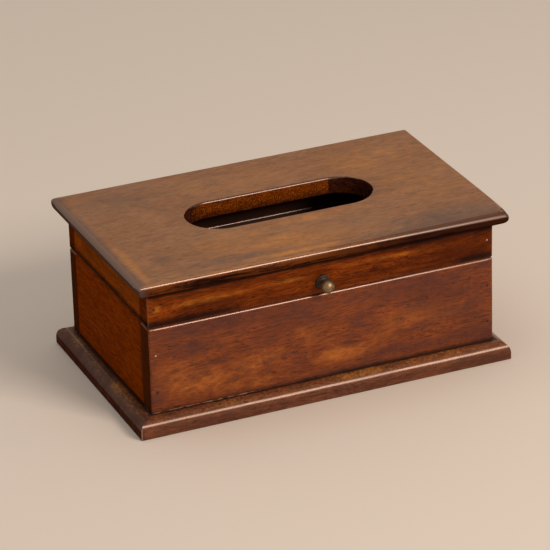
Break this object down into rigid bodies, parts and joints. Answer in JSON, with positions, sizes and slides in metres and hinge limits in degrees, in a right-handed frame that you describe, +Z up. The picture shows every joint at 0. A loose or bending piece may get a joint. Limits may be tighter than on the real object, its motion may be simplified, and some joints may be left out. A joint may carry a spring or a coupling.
{
  "type": "tissue box",
  "caption": "Wooden tissue box with a moulded base board and a hinged, moulded lid that has a long round-ended slot, lifted by a small ball knob.",
  "frame": {"origin": "under the middle of the walls' outer faces, on the face that the box rests on", "axes": "+X along the length, to the right as seen from the front; the front with the knob faces -Y; +Z up"},
  "size_m": [0.2814, 0.174, 0.114],
  "materials": {
    "top_wood": "satin lacquer over dark brown stain, mid brown",
    "wall_wood": "satin lacquer over red-brown stain, mottled",
    "rail_wood": "satin lacquer over streaky orange-brown stain",
    "base_wood": "satin lacquer over very dark brown stain",
    "brass": "dull brass",
    "antique_brass": "dark antique patina, brighter where it is handled",
    "steel": "dark steel"
  },
  "bodies": {
    "box": {"base_board": "base_wood", "front_board": "wall_wood", "back_board": "wall_wood", "left_board": "wall_wood", "right_board": "wall_wood", "box_pins": "steel", "base_screws": "steel", "left_hinge_box_leaf": "brass", "right_hinge_box_leaf": "brass", "hinge_box_screws": "brass", "left_hinge_pin": "brass", "right_hinge_pin": "brass"},
    "lid": {"top_board": "top_wood", "lid_front_rail": "rail_wood", "lid_back_rail": "rail_wood", "lid_left_rail": "rail_wood", "lid_right_rail": "rail_wood", "lid_pins": "steel", "left_hinge_lid_leaf": "brass", "right_hinge_lid_leaf": "brass", "hinge_lid_screws": "brass", "knob": "antique_brass", "knob_screw": "steel"}
  },
  "joints": [
    {"name": "lid_hinge", "type": "hinge", "parent": "box", "child": "lid", "pos_m": [0, 0.0779, 0.07725], "axis": [-1, 0, 0], "range_deg": [0, 172]}
  ]
}
